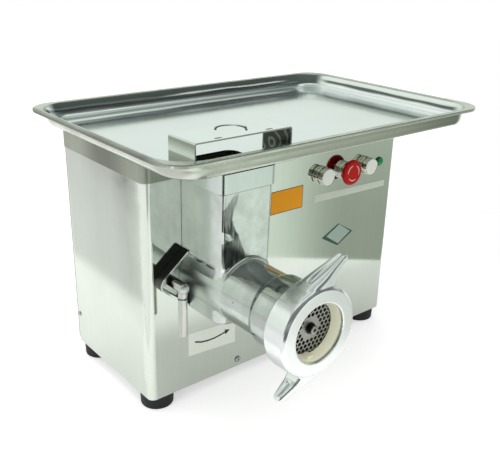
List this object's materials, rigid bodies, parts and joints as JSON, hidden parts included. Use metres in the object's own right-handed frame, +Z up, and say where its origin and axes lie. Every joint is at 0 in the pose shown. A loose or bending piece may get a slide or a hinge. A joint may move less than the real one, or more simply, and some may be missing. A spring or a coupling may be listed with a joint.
{
  "type": "electric meat grinder",
  "caption": "Electric meat grinder: stainless casing with a geared motor, cast grinding head with ring nut and perforated plate, loading tray, hand guard and push buttons.",
  "frame": {"origin": "middle of the bounding box in plan, on the surface that the rubber feet stand on", "axes": "+X along the front panel to the operator's right, +Y from the front panel to the rear cover, +Z up; the grinding head reaches out along -Y"},
  "size_m": [0.6, 0.5206, 0.4257],
  "materials": {
    "polished_steel": "mirror-polished stainless sheet",
    "satin_steel": "satin stainless sheet",
    "cast_metal": "polished casting",
    "tool_steel": "ground steel",
    "zinc_steel": "zinc plated",
    "brass": "turned",
    "black_rubber": "moulded, matte",
    "ivory_plastic": "turned food-grade plastic",
    "red_plastic": "moulded, glossy",
    "green_lens": "moulded, clear coloured",
    "black_plastic": "moulded",
    "grey_paint": "sprayed enamel"
  },
  "bodies": {
    "machine": {"casing_wrap": "polished_steel", "top_frame": "polished_steel", "rear_cover": "satin_steel", "rear_screw_low_left": "zinc_steel", "rear_screw_low_right": "zinc_steel", "rear_screw_high_left": "zinc_steel", "rear_screw_high_right": "zinc_steel", "side_screw_left": "zinc_steel", "side_screw_right": "zinc_steel", "ground_screw": "zinc_steel", "cable_gland": "black_plastic", "base_plate": "zinc_steel", "foot_front_left": "black_rubber", "foot_front_right": "black_rubber", "foot_rear_left": "black_rubber", "foot_rear_right": "black_rubber", "head_casting": "cast_metal", "rear_bush": "brass", "perforated_plate": "tool_steel", "clamp_strap": "polished_steel", "clamp_bush": "zinc_steel", "start_button_body": "polished_steel", "start_locknut": "zinc_steel", "reverse_button_body": "polished_steel", "reverse_locknut": "zinc_steel", "stop_button_body": "polished_steel", "stop_locknut": "zinc_steel", "lamp_body": "black_plastic", "lamp_locknut": "zinc_steel", "lamp_lens": "green_lens", "gearbox_housing": "grey_paint", "gearbox_cover": "grey_paint", "output_bearing_front": "tool_steel", "output_bearing_rear": "tool_steel", "motor_stator": "grey_paint", "motor_end_bell": "grey_paint", "drive_cradle": "zinc_steel", "contactor": "black_plastic", "capacitor": "grey_paint"},
    "auger": {"auger": "cast_metal", "knife": "tool_steel", "output_shaft": "tool_steel", "output_gear": "tool_steel"},
    "countershaft": {"countershaft": "tool_steel", "counter_gear": "tool_steel"},
    "rotor": {"motor_rotor": "zinc_steel", "motor_pinion": "tool_steel"},
    "thrust_ring": {"thrust_ring": "ivory_plastic"},
    "ring_nut": {"ring_nut": "cast_metal"},
    "clamp": {"clamp_spindle": "cast_metal", "clamp_handle": "cast_metal"},
    "tray": {"tray": "polished_steel", "tray_collar": "polished_steel"},
    "hood": {"hood": "polished_steel", "hood_handle": "polished_steel"},
    "start_cap": {"start_button_cap": "polished_steel"},
    "reverse_cap": {"reverse_button_cap": "polished_steel"},
    "stop_stem": {"stop_stem": "polished_steel"},
    "stop_mushroom": {"stop_mushroom": "red_plastic"}
  },
  "joints": [
    {"name": "motor_spin", "type": "hinge", "parent": "machine", "child": "rotor", "pos_m": [-0.0209, 0.11, 0.2075], "axis": [0, 1, 0], "continuous": true},
    {"name": "countershaft_spin", "type": "hinge", "parent": "machine", "child": "countershaft", "pos_m": [-0.0887, 0.03, 0.2075], "axis": [0, 1, 0], "continuous": true},
    {"name": "auger_spin", "type": "hinge", "parent": "machine", "child": "auger", "pos_m": [-0.173, -0.1, 0.2075], "axis": [0, 1, 0], "continuous": true},
    {"name": "thrust_slide", "type": "slide", "parent": "machine", "child": "thrust_ring", "axis": [0, -1, 0], "range_m": [0, 0.0101]},
    {"name": "nut_turn", "type": "hinge", "parent": "thrust_ring", "child": "ring_nut", "pos_m": [-0.173, -0.24, 0.2075], "axis": [0, -1, 0], "range_deg": [0, 900]},
    {"name": "clamp_swing", "type": "hinge", "parent": "machine", "child": "clamp", "pos_m": [-0.2394, -0.04, 0.211], "axis": [0, 1, 0], "range_deg": [0, 150]},
    {"name": "tray_lift", "type": "slide", "parent": "machine", "child": "tray", "axis": [0, 0, 1], "range_m": [0, 0.12]},
    {"name": "hood_lift", "type": "slide", "parent": "tray", "child": "hood", "axis": [0, 0, 1], "range_m": [0, 0.1]},
    {"name": "start_press", "type": "slide", "parent": "machine", "child": "start_cap", "axis": [0, 1, 0], "range_m": [0, 0.003], "stiffness_N_per_m": 400},
    {"name": "reverse_press", "type": "slide", "parent": "machine", "child": "reverse_cap", "axis": [0, 1, 0], "range_m": [0, 0.003], "stiffness_N_per_m": 400},
    {"name": "stop_press", "type": "slide", "parent": "machine", "child": "stop_stem", "axis": [0, 1, 0], "range_m": [0, 0.005]},
    {"name": "stop_twist", "type": "hinge", "parent": "stop_stem", "child": "stop_mushroom", "pos_m": [0.096, -0.045, 0.3045], "axis": [0, 1, 0], "range_deg": [0, 30], "stiffness_Nm_per_rad": 0.05}
  ],
  "couplings": [
    {"joint": "countershaft_spin", "follows": "motor_spin", "ratio": -0.35},
    {"joint": "auger_spin", "follows": "motor_spin", "ratio": 0.14},
    {"joint": "thrust_slide", "follows": "nut_turn", "m_per_rad": 0.00063662}
  ]
}
